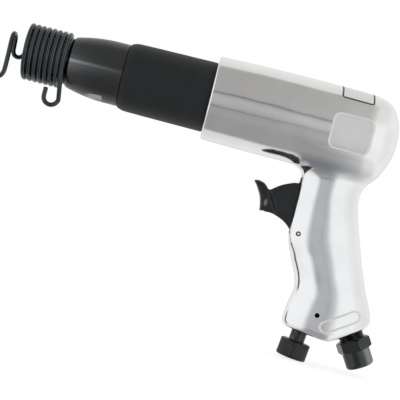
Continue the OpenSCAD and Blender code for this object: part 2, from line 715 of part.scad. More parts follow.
// Inlet bushing: thread, neck, hexagon and collar round the hose thread
module inlet_bushing() {
    bevel = 0.9;
    hex_r = inlet_hex / 2 / cos(30);
    bevel_r = inlet_hex / 2 + 0.3;
    collar_r = inlet_collar_d / 2;
    collar_z = inlet_neck + inlet_hex_h;
    color([0.12, 0.12, 0.13]) at_inlet() difference() {
        union() {
            translate([0, 0, -inlet_thread_len]) cylinder(r = inlet_r, h = inlet_thread_len + inlet_neck + 1);
            intersection() {
                translate([0, 0, inlet_neck]) rotate([0, 0, 19])
                    cylinder(r = hex_r, h = inlet_hex_h, $fn = 6);
                translate([0, 0, inlet_neck]) rotate_extrude() polygon([
                    [0, 0], [bevel_r, 0], [hex_r + 0.1, bevel], [hex_r + 0.1, inlet_hex_h - bevel],
                    [bevel_r, inlet_hex_h], [0, inlet_hex_h]
                ]);
            }
            translate([0, 0, collar_z - 0.5]) rotate_extrude() polygon([
                [0, 0], [collar_r, 0], [collar_r, inlet_collar_h - bevel],
                [collar_r - bevel, inlet_collar_h + 0.5], [0, inlet_collar_h + 0.5]
            ]);
        }
        translate([0, 0, inlet_len - hose_depth]) cylinder(r = hose_r, h = hose_depth + 1);
        translate([0, 0, z_flange]) cylinder(r = flange_r + wall_gap, h = flange_t + 1);
        translate([0, 0, -inlet_thread_len - 1]) cylinder(r = inlet_bore_r, h = inlet_len + inlet_thread_len);
    }
}

module inlet_seal() {
    color([0.08, 0.08, 0.08]) at_inlet() translate([0, 0, -inlet_thread_len - inlet_seal_t])
        ring(inlet_bore_r, inlet_r - 0.1, inlet_seal_t);
}

module inlet_screen() {
    wall = 0.6;
    body_r = inlet_bore_r - 0.1;
    body_h = 14;
    color([0.7, 0.68, 0.6]) at_inlet() translate([0, 0, z_flange]) difference() {
        union() {
            cylinder(r = flange_r, h = flange_t);
            translate([0, 0, -body_h]) cylinder(r = body_r, h = body_h);
        }
        translate([0, 0, wall - body_h]) cylinder(r = body_r - wall, h = body_h + flange_t + 1);
        for (row = [0:2], a = [0, 60, 120]) translate([0, 0, -3.5 - row * 3.2])
            rotate([0, 0, a + row * 30]) across(0.8, 2 * inlet_r);
    }
}

housing();
barrel();
barrel_sleeve();
barrel_o_ring();
piston();
valve_block();
valve_disc();
valve_cap();
valve_dowels();
valve_gasket();
retainer_spring();
trigger();
trigger_pin();
throttle_bushing();
throttle_stem_seal();
throttle_valve();
throttle_valve_seal();
throttle_spring();
air_regulator();
regulator_o_ring();
regulator_pin();
inlet_bushing();
inlet_seal();
inlet_screen();
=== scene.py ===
"""Looks of a pistol-grip air hammer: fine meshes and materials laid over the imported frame.

Lengths in this script are millimetres in the frame's axes: X runs to the rear, Z is up and the
photographed side faces -Y. Meshes are scaled to metres when they become objects.
"""

import itertools
import json
from math import asin, cos, degrees, hypot, pi, radians, sin, sqrt, tan, tau

import bpy
import numpy as np
from mathutils import Matrix, Vector


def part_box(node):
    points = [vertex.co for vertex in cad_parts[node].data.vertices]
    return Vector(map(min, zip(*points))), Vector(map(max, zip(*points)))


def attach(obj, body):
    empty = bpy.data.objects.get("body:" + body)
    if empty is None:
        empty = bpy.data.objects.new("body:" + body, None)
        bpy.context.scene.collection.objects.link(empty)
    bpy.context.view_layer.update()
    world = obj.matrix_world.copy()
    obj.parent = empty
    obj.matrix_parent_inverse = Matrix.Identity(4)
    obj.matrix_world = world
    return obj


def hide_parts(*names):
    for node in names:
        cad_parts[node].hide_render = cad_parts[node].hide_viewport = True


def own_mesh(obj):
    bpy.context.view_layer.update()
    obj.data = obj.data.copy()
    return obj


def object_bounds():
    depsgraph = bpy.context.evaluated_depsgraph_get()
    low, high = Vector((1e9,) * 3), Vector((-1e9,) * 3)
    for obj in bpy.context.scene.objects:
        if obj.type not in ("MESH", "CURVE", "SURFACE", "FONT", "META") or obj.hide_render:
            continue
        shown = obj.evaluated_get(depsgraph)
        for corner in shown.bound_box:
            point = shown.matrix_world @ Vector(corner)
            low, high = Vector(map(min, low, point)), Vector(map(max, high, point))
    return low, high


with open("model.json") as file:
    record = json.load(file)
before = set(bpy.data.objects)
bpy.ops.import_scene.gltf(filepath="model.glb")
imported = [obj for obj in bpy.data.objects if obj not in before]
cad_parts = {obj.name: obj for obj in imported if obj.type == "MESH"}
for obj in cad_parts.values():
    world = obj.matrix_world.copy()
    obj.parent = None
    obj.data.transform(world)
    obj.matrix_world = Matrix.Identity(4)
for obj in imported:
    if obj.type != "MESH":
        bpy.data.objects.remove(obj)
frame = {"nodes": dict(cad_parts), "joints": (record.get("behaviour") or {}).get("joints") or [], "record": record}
cad_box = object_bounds()
scene = bpy.context.scene
mounts = frame["record"]["mounts"]
MM = 0.001


def node_box(name):
    low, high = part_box(name)
    return np.array(low) / MM, np.array(high) / MM


def named(items, name):
    return next(item for item in items if item["name"] == name)


# Places read from the frame

pull = named(frame["joints"], "trigger_pull")
knob = named(frame["joints"], "regulator_turn")
shank = named(mounts, "shank_bore")["dims"]
hose = named(mounts, "air_inlet")
housing_low, housing_high = node_box("housing")
sleeve_low, sleeve_high = node_box("barrel_sleeve")
barrel_high = node_box("barrel")[1]
bushing_low, bushing_high = node_box("throttle_bushing")
coil_low, coil_high = node_box("throttle_spring")
x_front = housing_low[0]
x_sleeve = sleeve_low[0]
x_seat = sleeve_high[0]
x_floor = node_box("valve_gasket")[1][0]
x_slot = bushing_low[0]
x_blind = coil_high[0]
sleeve_r = sleeve_high[2]
nose_r = barrel_high[2]
throttle_z = (bushing_low[2] + bushing_high[2]) / 2
throttle_r = (bushing_high[2] - bushing_low[2]) / 2
pivot = np.array(pull["pos_m"]) / MM
shank_r = shank["r_mm"]
shank_len = shank["length_mm"]
regulator_at = np.array(knob["pos_m"]) / MM
regulator_axis = np.array(knob["axis"])
inlet_mouth = np.array(hose["pos_m"]) / MM
inlet_axis = np.array(hose["axis"])
hose_r = hose["dims"]["r_mm"]

# Housing sizes

housing_r = 26.2
swell = 0.9
swell_at_grip = 0.85
swell_past = 6
swell_peak = 0.4
x_rear = x_front + 118.8
rear_len = 22.8
front_edge = 0.8
mid_x = x_front + (x_rear - x_front) * swell_peak
x_round = x_rear - rear_len
under = housing_r + swell * swell_at_grip
trig_x = x_rear - 51.2
badge_at = (trig_x + 20.3, -2.1)
badge_half = (12.3, 10.5)
badge_corner = 4.2
badge_depth = 0.7

# Grip sizes: outlines are (depth below the housing, distance) pairs

grip_depth = 37.4
grip_half = 15.3
grip_front = [
    (6, 0), (38, 0), (47, 1.6), (57, 5.3), (67, 9.8), (74, 11.4), (83, 10.1), (90, 9.2), (98, 9.4)
]
grip_back = [
    (-17, 1), (-11, 4.6), (-5, 4.8), (1, 2.1), (7, 0.2), (14, 0), (23, 2.3), (41, 8.3), (65, 17.5),
    (77, 23.3), (83, 25.2), (92, 25.4)
]
grip_flat = [(-9, 0), (-4, 2.2), (44, 2.2), (56, 0), (98, 0)]
flat_edge = [(40, 0.6), (50, 0.5), (56, 0.2)]
grip_side = [(-17, 1.5), (-8, 0.6), (2, 0.1), (33, 0.1), (73, 1.2), (98, 0.6)]
grip_oval = [(-17, 2.4), (8, 2), (28, 2), (50, 2.1), (98, 2.1)]
neck_side = [(-14, 7), (-10, 5), (-4, 2), (1, 0.3), (4, 0)]
neck_oval = 5
neck_inset = 5
neck_back = 1
neck_top = -11
neck_end = 1
neck_rise = 0.1
neck_round = 4
neck_top_round = 3
shoulder_round = 11
grip_round = 9
grip_top = -17
grip_top_round = 2
blend_r = 6
blend_lean = 0.4
ridge = 1.8
base_round = 4
base_slope = 0.95
regulator_tilt = tan(radians(6.5))
inlet_tilt = tan(radians(31.7))
inlet_len = 21.8
inlet_at = inlet_mouth - inlet_len * inlet_axis
slot_half = 4.6
slot_top = 5.6
slot_end = 45.6
slot_ramp = 4
slot_reach = 14
cut_edge = 0.5
pin_r = 1.5
plug_r = 5.5
plug_pin_depth = 13.5
plug_pin_at = 4.8

# Mesh tools


def new_object(name, vertices, faces, scale=MM):
    mesh = bpy.data.meshes.new(name)
    mesh.from_pydata((np.asarray(vertices) * scale).tolist(), [], [tuple(f) for f in faces])
    mesh.validate()
    mesh.update()
    made = bpy.data.objects.new(name, mesh)
    scene.collection.objects.link(made)
    return made


def fetch(items, what, size=3, kind=float):
    """One value or vector from each of a mesh's vertices, faces or corners."""
    values = np.zeros(len(items) * size, kind)
    items.foreach_get(what, values)
    return values.reshape(-1, size)


def smooth(obj, angle=32):
    obj.data.polygons.foreach_set("use_smooth", [True] * len(obj.data.polygons))
    obj.data.set_sharp_from_angle(angle=radians(angle))
    return obj


def facing(axis, at=(0, 0, 0)):
    """Matrix that carries a lathe's Z axis onto an axis in the XZ plane that starts at a point."""
    z = Vector(axis).normalized()
    y = Vector((0, 1, 0))
    matrix = Matrix((y.cross(z), y, z)).transposed().to_4x4()
    matrix.translation = Vector(at)
    return np.array(matrix)


def place(matrix, points):
    return np.asarray(points) @ matrix[:3, :3].T + matrix[:3, 3]


ALONG_BARREL = facing((1, 0, 0))
AT_REGULATOR = facing(regulator_axis, regulator_at)
AT_INLET = facing(inlet_axis, inlet_at)


def circle(count):
    return np.linspace(0, tau, count, endpoint=False)


def quads(rows, columns, closed=False):
    """Quads of a grid of points whose columns run round, and its rows too if it is closed."""
    i, j = np.meshgrid(np.arange(rows if closed else rows - 1), np.arange(columns), indexing="ij")
    here = i * columns
    after = (i + 1) % rows * columns
    k = (j + 1) % columns
    return np.stack([here + j, here + k, after + k, after + j], -1).reshape(-1, 4)


def tube(rows, columns):
    """Quads of a grid whose columns run round, with a face over each end."""
    ends = [range(columns)[::-1], range((rows - 1) * columns, rows * columns)]
    return quads(rows, columns).tolist() + ends


def turned(profile, segments, relief=None):
    """Vertices and faces of a closed outline of (along, radius) pairs turned about Z. relief changes the
    radius: it is called with the stations, radii and angles."""
    along, radius = (np.repeat(np.array(c, float)[:, None], segments, 1) for c in zip(*profile))
    angle = np.repeat(circle(segments)[None, :], len(profile), 0)
    if relief:
        radius = relief(along, radius, angle)
    points = np.stack([radius * np.cos(angle), radius * np.sin(angle), along], -1).reshape(-1, 3)
    return points, quads(len(profile), segments, True)


def lathe(name, matrix, profile, segments, relief=None, flip=True):
    """Object turned from an outline and set in place. flip turns its faces round."""
    vertices, faces = turned(profile[::-1], segments, relief)
    return new_object(name, place(matrix, vertices), faces[:, ::-1] if flip else faces)


def arc(centre, radius, start, end, count):
    angles = np.radians(np.linspace(start, end, count))
    return [(centre[0] + radius * cos(a), centre[1] + radius * sin(a)) for a in angles]


def rod(start, end, radius, segments=72):
    """A closed cylinder to cut with, between two points in the XZ plane or along Y."""
    start, end = np.array([start, end], float)
    axis = (end - start) / np.linalg.norm(end - start)
    side = np.cross(axis, (0, 1, 0) if abs(axis[1]) < 0.9 else (1, 0, 0))
    side = side / np.linalg.norm(side)
    other = np.cross(axis, side)
    angles = circle(segments)[:, None]
    ring = radius * (np.cos(angles) * side + np.sin(angles) * other)
    return new_object("cut", np.concatenate([start + ring, end + ring]), tube(2, segments))


def block(low, high):
    """A box to cut with."""
    corners = list(itertools.product(*zip(low, high)))
    faces = [(0, 1, 3, 2), (4, 6, 7, 5), (0, 4, 5, 1), (2, 3, 7, 6), (0, 2, 6, 4), (1, 5, 7, 3)]
    return new_object("cut", corners, faces)


def combine(obj, cutters, operation="DIFFERENCE"):
    """Cuts the cutters out of obj, or keeps what they share, and takes the cutters away."""
    for cutter in cutters:
        step = obj.modifiers.new("combine", "BOOLEAN")
        step.object = cutter
        step.operation = operation
        step.solver = "MANIFOLD"
    graph = bpy.context.evaluated_depsgraph_get()
    result = bpy.data.meshes.new_from_object(obj.evaluated_get(graph))
    obj.modifiers.clear()
    obj.data = result
    for cutter in cutters:
        bpy.data.objects.remove(cutter)
    return obj


def swept(name, path, radius, sides, angle=50):
    """Object of a round wire along a path, with rounded ends."""
    end_sizes = np.array([0.05, 0.62, 0.88, 1])
    end_places = 0.35 * radius * np.linspace(1, 0.25, len(end_sizes))[:, None]
    path = np.asarray(path, float)
    heading = np.gradient(path, axis=0)
    heading /= np.linalg.norm(heading, axis=1)[:, None]
    normals = np.zeros_like(path)
    n = np.array([0, 0.3, 1.0])
    for i, t in enumerate(heading):
        n = n - n.dot(t) * t
        n /= np.linalg.norm(n)
        normals[i] = n
    first = path[0] - heading[0] * end_places
    last = path[-1] + heading[-1] * end_places[::-1]
    points = np.concatenate([first, path, last])
    sizes = np.concatenate([end_sizes, np.ones(len(path)), end_sizes[::-1]]) * radius
    more = ((len(end_sizes), len(end_sizes)), (0, 0))
    ahead = np.pad(heading, more, "edge")
    up = np.pad(normals, more, "edge")
    aside = np.cross(ahead, up)
    angles = circle(sides)[None, :, None]
    ring = np.cos(angles) * up[:, None, :] + np.sin(angles) * aside[:, None, :]
    vertices = (points[:, None, :] + sizes[:, None, None] * ring).reshape(-1, 3)
    return smooth(new_object(name, vertices, tube(len(points), sides)), angle)


# Shapes given by a distance, which is negative inside, and the skin drawn round them


def curve(knots, place_at):
    """Cubic through (place, value) pairs, level beyond its ends."""
    known = np.array(knots, float).T
    places, values = known
    padded = np.pad(known, ((0, 0), (1, 1)), "edge")
    run, climb = padded[:, 2:] - padded[:, :-2]
    slopes = climb / run
    i = np.clip(np.searchsorted(places, place_at) - 1, 0, len(knots) - 2)
    width = places[i + 1] - places[i]
    t = np.clip((place_at - places[i]) / width, 0, 1)
    ease = t * t * (3 - 2 * t)
    bend = (1 - t) * slopes[i] - t * slopes[i + 1]
    return values[i] + ease * (values[i + 1] - values[i]) + t * (1 - t) * width * bend


def join(a, b, radius, power=2):
    """Smallest of two distances, with the crease between them rounded: a higher power is softer."""
    h = np.maximum(radius - np.abs(a - b), 0) / radius
    return np.minimum(a, b) - h ** power * radius / (2 * power)


def meet(a, b, radius):
    return -join(-a, -b, radius)


def outline_distance(points, x, z):
    """Distance to a closed outline in the XZ plane."""
    nearest = np.inf
    inside = False
    for (x0, z0), (x1, z1) in zip(points, points[1:] + points[:1]):
        ex, ez = x1 - x0, z1 - z0
        t = np.clip(((x - x0) * ex + (z - z0) * ez) / (ex * ex + ez * ez), 0, 1)
        nearest = np.minimum(nearest, np.hypot(x - x0 - t * ex, z - z0 - t * ez))
        if z0 != z1:
            inside = inside ^ (((z0 > z) != (z1 > z)) & (x < ex * (z - z0) / ez + x0))
    return np.where(inside, -nearest, nearest)


def gradient(distance, points, reach=0.03):
    slopes = [distance(*(points + reach * e).T) - distance(*(points - reach * e).T) for e in np.eye(3)]
    return np.stack(slopes, -1) / (2 * reach)


def skin(distance, low, high, step, settle=4):
    """Quads round the zero of a distance: one vertex in each cell that it crosses, moved onto it."""
    flattest = 0.05
    longest = 0.6 * step
    axes = [np.arange(a, b + step, step) for a, b in zip(low, high)]
    field = distance(*np.meshgrid(*axes, indexing="ij", sparse=True)).astype(np.float32)
    inside = field < 0
    offsets = np.array(list(itertools.product((0, 1), repeat=3)))
    size = np.array(field.shape) - 1
    count = np.zeros(size, np.int8)
    for offset in offsets:
        count += inside[tuple(slice(o, o + n) for o, n in zip(offset, size))]
    active = (count > 0) & (count < len(offsets))
    index = np.full(active.shape, -1, np.int32)
    index[active] = np.arange(active.sum())
    cells = np.argwhere(active)
    values = np.stack([field[tuple((cells + o).T)] for o in offsets], -1)
    total = np.zeros((len(cells), 3))
    crossings = np.zeros(len(cells))
    for a, b in itertools.combinations(range(len(offsets)), 2):
        if np.abs(offsets[a] - offsets[b]).sum() != 1:
            continue
        crossed = (values[:, a] < 0) != (values[:, b] < 0)
        t = np.where(crossed, values[:, a] / np.where(crossed, values[:, a] - values[:, b], 1), 0)
        total += crossed[:, None] * (offsets[a] + t[:, None] * (offsets[b] - offsets[a]))
        crossings += crossed
    vertices = np.array([a[0] for a in axes]) + (cells + total / crossings[:, None]) * step
    sheets = []
    for axis in range(3):
        u, v = (axis + 1) % 3, (axis + 2) % 3
        ahead = np.moveaxis(inside, axis, 0)
        edges = np.argwhere(np.moveaxis(ahead[1:] != ahead[:-1], 0, axis))
        across = edges[:, [u, v]]
        edges = edges[((across > 0) & (across < size[[u, v]])).all(1)]
        shifts = np.zeros((4, 3), int)
        shifts[:, [u, v]] = (1, 1), (0, 1), (0, 0), (1, 0)
        faces = np.stack([index[tuple((edges - shift).T)] for shift in shifts], -1)
        outward = inside[tuple(edges.T)]
        faces[~outward] = faces[~outward][:, ::-1]
        sheets.append(faces)
    for _ in range(settle):
        slope = gradient(distance, vertices)
        share = distance(*vertices.T) / np.maximum((slope ** 2).sum(1), flattest)
        vertices -= np.clip(share[:, None] * slope, -longest, longest)
    return vertices, np.concatenate(sheets)


def true_normals(obj, distance, near=0.06):
    """Shades faces that lie on the shape by its own slope, and leaves those of cuts to their angle."""
    mesh = obj.data
    smooth(obj)
    slope = gradient(distance, fetch(mesh.vertices, "co") / MM)
    slope /= np.maximum(np.linalg.norm(slope, axis=1), 1e-6)[:, None]
    centres = fetch(mesh.polygons, "center") / MM
    on_shape = np.abs(distance(*centres.T)) < near
    lengths = fetch(mesh.polygons, "loop_total", 1, np.int32)[:, 0]
    corner = fetch(mesh.loops, "vertex_index", 1, np.int32)[:, 0]
    normals = slope[corner] * np.repeat(on_shape, lengths)[:, None]
    mesh.normals_split_custom_set(normals.tolist())
    return obj


# Housing: barrel body and grip in one casting


def side_r(x):
    """Radius of the housing, which swells a little towards its middle."""
    reach = np.where(x < mid_x, mid_x - x_front, x_round + swell_past - mid_x)
    return housing_r + swell * (1 - np.minimum(np.abs(x - mid_x) / reach, 1) ** 2)


def body_distance(x, y, z):
    flattest = 0.03
    r = np.hypot(y, z)
    along = np.maximum(x - x_round, 0) / rear_len
    fullness = along ** 3 + (r / side_r(x)) ** 2
    slope = np.hypot(3 * along ** 2 / rear_len, 2 * r / housing_r ** 2)
    solid = (fullness - 1) / np.maximum(slope, flattest)
    return meet(solid, x_front - x, 2 * front_edge)


def front_x(depth):
    fillet = -blend_r + np.sqrt(np.maximum(blend_r ** 2 - (blend_r - depth) ** 2, 0))
    above = np.where(depth < 0, -blend_r + depth * blend_lean, fillet)
    return trig_x + np.where(depth < blend_r, above, curve(grip_front, depth))


def base_z(x):
    a = regulator_at[2] - (x - regulator_at[0]) * regulator_tilt
    b = inlet_at[2] + (x - inlet_at[0]) * inlet_tilt
    return (a + b + np.sqrt((a - b) ** 2 + ridge ** 2)) / 2


def oval_distance(x, y, start, end, half, power):
    """Distance in plan to an oval with squared or round corners, by its power."""
    across = x - (start + end) / 2
    size = (np.abs(across / ((end - start) / 2)) ** power + np.abs(y / half) ** power) ** (1 / power)
    return np.hypot(across, y) * (1 - 1 / np.maximum(size, 0.05))


def grip_distance(x, y, z):
    depth = -z - under
    start = front_x(depth)
    tip = start - curve(grip_flat, depth)
    end = trig_x + grip_depth + curve(grip_back, depth)
    wall = oval_distance(x, y, tip, end, grip_half + curve(grip_side, depth), curve(grip_oval, depth))
    wall = meet(wall, start - x, curve(flat_edge, depth))
    base = (base_z(x) - z) * base_slope
    return meet(meet(wall, base, base_round), grip_top - depth, grip_top_round)


def neck_distance(x, y, z):
    """Shoulder that widens the top of the grip towards the body."""
    depth = -z - under
    start = front_x(depth) + neck_inset
    end = trig_x + grip_depth + curve(grip_back, depth) - neck_back
    wall = oval_distance(x, y, start, end, grip_half + curve(neck_side, depth), neck_oval)
    floor = depth - neck_end + neck_rise * (x - trig_x)
    return meet(meet(wall, floor, neck_round), neck_top - depth, neck_top_round)


def slot_distance(x, y, z):
    sides = np.maximum(np.abs(y) - slot_half, x - x_slot)
    lower = -under - slot_end - z + np.maximum(trig_x + slot_ramp - x, 0)
    ends = np.maximum(z + under + slot_top, lower)
    return np.maximum(np.maximum(sides, ends), trig_x - slot_reach - x)


badge_floor = float(side_r(badge_at[0])) - badge_depth


def badge_distance(x, y, z):
    dx = np.maximum(np.abs(x - badge_at[0]) - badge_half[0] + badge_corner, 0)
    dz = np.maximum(np.abs(z - badge_at[1]) - badge_half[1] + badge_corner, 0)
    square = np.hypot(dx, dz) - badge_corner
    return np.maximum(np.maximum(square, badge_floor - np.hypot(y, z)), y)


def housing_distance(x, y, z):
    solid = join(body_distance(x, y, z), neck_distance(x, y, z), shoulder_round, power=3)
    solid = join(solid, grip_distance(x, y, z), grip_round, power=3)
    solid = meet(solid, -slot_distance(x, y, z), cut_edge)
    return meet(solid, -badge_distance(x, y, z), cut_edge)


plug_pin = place(AT_REGULATOR, [(-plug_pin_at, 0, -plug_pin_depth)])[0]


def drill(matrix, start, end, radius):
    """A cylinder to cut with, along a fitting's axis."""
    return rod(*place(matrix, [(0, 0, start), (0, 0, end)]), radius)


def make_housing():
    margin = 1.5
    cell = 0.62
    thread_r = 18.62
    passage_r = 4.05
    inlet_r = 7.93
    plug_hole = (-18, 9)
    passage = (-30, -17)
    inlet_hole = (-13.5, 8)
    vertices, faces = skin(housing_distance, housing_low - margin, housing_high + margin, cell)
    housing = new_object("housing_casting", vertices, faces)
    wide = np.array([0, 40, 0])
    cutters = [
        rod((x_front - 5, 0, 0), (x_seat, 0, 0), sleeve_r + 0.03, 128),
        rod((x_seat - 1, 0, 0), (x_floor, 0, 0), thread_r, 96),
        rod(pivot - wide, pivot + wide, pin_r + 0.03, 48),
        rod((x_slot - 0.5, 0, throttle_z), (x_blind + 0.1, 0, throttle_z), throttle_r + 0.02),
        drill(AT_REGULATOR, *plug_hole, plug_r + 0.05),
        drill(AT_REGULATOR, *passage, passage_r),
        rod(plug_pin - wide, plug_pin + wide, pin_r + 0.02, 48),
        drill(AT_INLET, *inlet_hole, inlet_r),
    ]
    return true_normals(combine(housing, cutters), housing_distance)


housing = make_housing()

# Barrel nose, with its neck, crown and wrench flats


flats = 36.9
flats_turn = -15


def make_barrel():
    x_nose = 27.4
    neck_r = 14.25
    nose_lip = 1.8
    nose_edge = 3.5
    nose_crown = 26
    seat_r = 17.6
    cylinder_r = 9.55
    thread_r = 18.6
    x_barrel = barrel_high[0]
    crown_r = (nose_crown ** 2 + nose_edge ** 2) / (2 * nose_edge)
    x_crown = x_nose + nose_lip + nose_crown
    lean = degrees(asin(nose_crown / crown_r))
    profile = [(0.4, shank_r), (0, shank_r + 0.4), (0, neck_r - 0.8), (0.25, neck_r - 0.25)]
    profile += [(x, neck_r) for x in (0.8, 6, 12, x_nose - 0.4)]
    profile += [(x_nose, neck_r + 0.2), (x_nose + nose_lip - 0.5, nose_r - nose_edge - 0.3)]
    profile += arc((x_crown, nose_r - crown_r), crown_r, 90 + lean, 90, 28)
    profile += [(x_sleeve - 0.5, nose_r), (x_sleeve, nose_r - 0.4), (x_sleeve, seat_r), (x_seat, seat_r)]
    profile += [(x_seat, thread_r), (x_barrel, thread_r), (x_barrel, cylinder_r)]
    profile += [(shank_len, cylinder_r), (shank_len, shank_r)]
    barrel = lathe("barrel_turned", ALONG_BARREL, profile, 192, flip=False)
    flat_end = x_nose + 25.8
    clear = 30
    cutters = []
    for turn in (flats_turn, flats_turn + 180):
        cutter = block((x_nose - 1, -clear, flats / 2), (flat_end, clear, clear))
        cutter.data.transform(Matrix.Rotation(radians(turn), 4, "X"))
        cutters.append(cutter)
    return smooth(combine(barrel, cutters), 24)


barrel = make_barrel()


def make_sleeve():
    front_r = sleeve_r - 0.58
    lip_r = front_r - 1
    lip_round = 1.2
    shoulder_r = 30
    inner = 17.62
    profile = [(x_sleeve + 0.3, inner), (x_sleeve, inner + 0.4)]
    profile += arc((x_sleeve + lip_round, lip_r - lip_round), lip_round, 180, 96, 10)
    profile += arc((x_sleeve + 7, front_r - shoulder_r), shoulder_r, 97, 90, 6)
    profile += [(x_sleeve + t * (x_front - x_sleeve), front_r + 0.56 * t) for t in (0.3, 0.5, 0.7, 0.85)]
    profile += [(x_front - 0.9, sleeve_r - 0.05), (x_front - 0.5, sleeve_r - 0.3)]
    profile += [(x_front - 0.1, sleeve_r - 0.3), (x_front + 0.2, sleeve_r - 0.02)]
    profile += [(x_seat, sleeve_r - 0.02), (x_seat, inner)]
    return smooth(lathe("sleeve_moulded", ALONG_BARREL, profile, 160, flip=False), 40)


sleeve = make_sleeve()

# Retainer spring: hook, coils and tail loop, on the same path as the frame's


def through(points, count):
    """Smooth path through points, with count steps between neighbours."""
    p = np.array(points, float)
    padded = np.concatenate([p[:1], p, p[-1:]])
    path = []
    for a, b, c, d in zip(padded, padded[1:], padded[2:], padded[3:]):
        for t in np.arange(count) / count:
            path.append(0.5 * (2 * b + (c - a) * t + (2 * a - 5 * b + 4 * c - d) * t ** 2
                               + (3 * b - a - 3 * c + d) * t ** 3))
    return np.array(path + [p[-1]])


def make_spring():
    wire_r = 1.45
    coil_r = 17.7 - wire_r
    coil_x = 0.7
    pitch = 3.4
    coils = 7
    tail_r = 4.6
    tail_y = -5.6
    tail_z = -24.4
    hook_r = shank_r + 2.7
    hook = [
        (-13.9, -6.3, -21.1), (-11.6, -6.8, -19.7), (-9.8, -7.4, -17.4), (-9.2, -hook_r, -13.4),
        (-9.3, -hook_r, -2.7), (-9.6, -hook_r * 0.86, 2.7), (-9.9, -hook_r * 0.5, 7), (-10, 0, 8.7),
        (-9.8, hook_r * 0.5, 8.1), (-9.7, hook_r * 0.9, 5.6), (-9.6, hook_r, 1.4), (-9.3, hook_r, -1.7),
        (-8.2, hook_r + 0.5, -3.8), (-6.4, coil_r - 5.6, -4.4), (-4.8, coil_r - 2.6, -3.4),
        (-3.7, coil_r - 0.4, -1.2), (-1.7, coil_r, 5.2)
    ]
    turns = np.radians(np.arange(-50, coils * 360 + 113, 6))
    along = coil_x + pitch * turns / tau
    coil = np.stack([along, -coil_r * np.sin(turns), coil_r * np.cos(turns)], -1)
    end = coil[-1]
    tail_x = end[0] + 1.5
    tail = [((end[0] + tail_x) / 2, (end[1] + tail_y) / 2 - 0.9, (end[2] + tail_z) / 2)]
    tail += [(x, tail_y, z) for x, z in arc((tail_x - tail_r, tail_z), tail_r, 0, -180, 9)]
    tail += [(tail_x - 2 * tail_r, tail_y, tail_z + up) for up in (2.6, 5)]
    steps = 8
    lead = through(hook + [coil[0], coil[6]], steps)[:-steps - 1]
    leave = through([coil[-5], coil[-1]] + tail, 5)[6:]
    return swept("retainer_wire", np.concatenate([lead, coil, leave]), wire_r - 0.02, 16)


def make_throttle_coil():
    wire_r = 0.45
    coils = 5
    closed = 0.8
    closed_len = 0.74
    turns = np.linspace(0, coils, 241)
    reach = coil_high[0] - coil_low[0] - 2 * wire_r
    coil_r = (coil_high[1] - coil_low[1]) / 2 - wire_r
    stations = [0, closed_len, reach - closed_len, reach]
    along = coil_low[0] + wire_r + np.interp(turns, [0, closed, coils - closed, coils], stations)
    angles = tau * turns
    path = np.stack([along, coil_r * np.sin(angles), throttle_z + coil_r * np.cos(angles)], -1)
    return swept("throttle_coil", path, wire_r - 0.01, 12)


spring = make_spring()
throttle_coil = make_throttle_coil()

# Trigger: finger pad on a thinner blade

pad_half = 6.5
pad_tall = 11
pad_mid = -25.5
blade_half = 4.2
blade_border = 2.6
blade_relief = 0.5
boss_wall = 2.1
pad_edge = 2
blade_edge = 1.2
pad_blend = 2.2
boss_blend = 0.8
pad_front = [
    (-25.8, -14.4), (-28.5, -15.7), (-26, -18.9), (-22.8, -24.4), (-21.4, -29.4), (-20.9, -33.2)
]
pad_rear = [
    (-11.9, -31.8), (-12.6, -29.6), (-13.9, -27.2), (-16.1, -23.8), (-18.4, -19.9), (-21.6, -16.1),
    (-25.8, -14.4)
]
blade_top = [
    (-18.4, -19.9), (-11.8, -14.8), (-5, -11.6), (-1.6, -10.9), (-0.9, -10), (-0.7, -7.2), (0.2, -6.5),
    (1.6, -7.2), (2.4, -10.8)
]
blade_rear = [(3.6, -13), (5.1, -17), (5.1, -23), (3.7, -27), (3.2, -36)]
blade_under = [(2.4, -42.2), (0.6, -40.4), (-2.8, -37.4), (-6.7, -35.1), (-13.2, -32.9), (-17.1, -32.5)]


def flat_path(points):
    return [(x + trig_x, z - under) for x, z in through(points, 4).tolist()]


pad_outline = flat_path(pad_front) + flat_path(pad_rear)[:-1]
blade_back = [(x + trig_x, z - under) for x, z in blade_rear]
blade_outline = flat_path(blade_top) + blade_back + flat_path(blade_under)


def trigger_distance(x, y, z):
    height = z + under - pad_mid
    size = np.maximum(np.hypot(y / pad_half, height / pad_tall), 0.05)
    oval = np.hypot(y, height) * (1 - 1 / size)
    pad = meet(outline_distance(pad_outline, x, z), oval, pad_edge)
    plan = outline_distance(blade_outline, x, z)
    blade = meet(plan, np.abs(y) - blade_half, blade_edge)
    hollow = np.maximum(plan + blade_border, blade_half - blade_relief - np.abs(y))
    blade = meet(blade, -np.maximum(hollow, x - trig_x + 1.5), cut_edge)
    boss = np.maximum(np.hypot(x - pivot[0], z - pivot[2]) - pin_r - boss_wall, np.abs(y) - blade_half)
    return join(join(pad, blade, pad_blend), boss, boss_blend)


def make_trigger():
    low, high = node_box("trigger")
    margin = 1.2
    tab_room = 5
    cell = 0.4
    room = np.array([margin, margin, tab_room])
    vertices, faces = skin(trigger_distance, low - margin, high + room, cell)
    trigger = new_object("trigger_moulded", vertices, faces)
    wide = np.array([0, 20, 0])
    combine(trigger, [rod(pivot - wide, pivot + wide, pin_r + 0.05, 48)])
    return true_normals(trigger, trigger_distance)


trigger = make_trigger()

# Turned and threaded fittings at the base of the grip


def zigzag(turns):
    """1 at each whole turn, 0 half way between."""
    return np.abs(turns % 1 * 2 - 1)


def thread(pitch, depth, low, high, outward=1):
    """Relief of a helical thread between two stations."""
    def relief(along, radius, angle):
        wave = zigzag(along / pitch - angle / tau)
        inside = (along > low) & (along < high)
        return radius - outward * depth * wave * inside
    return relief


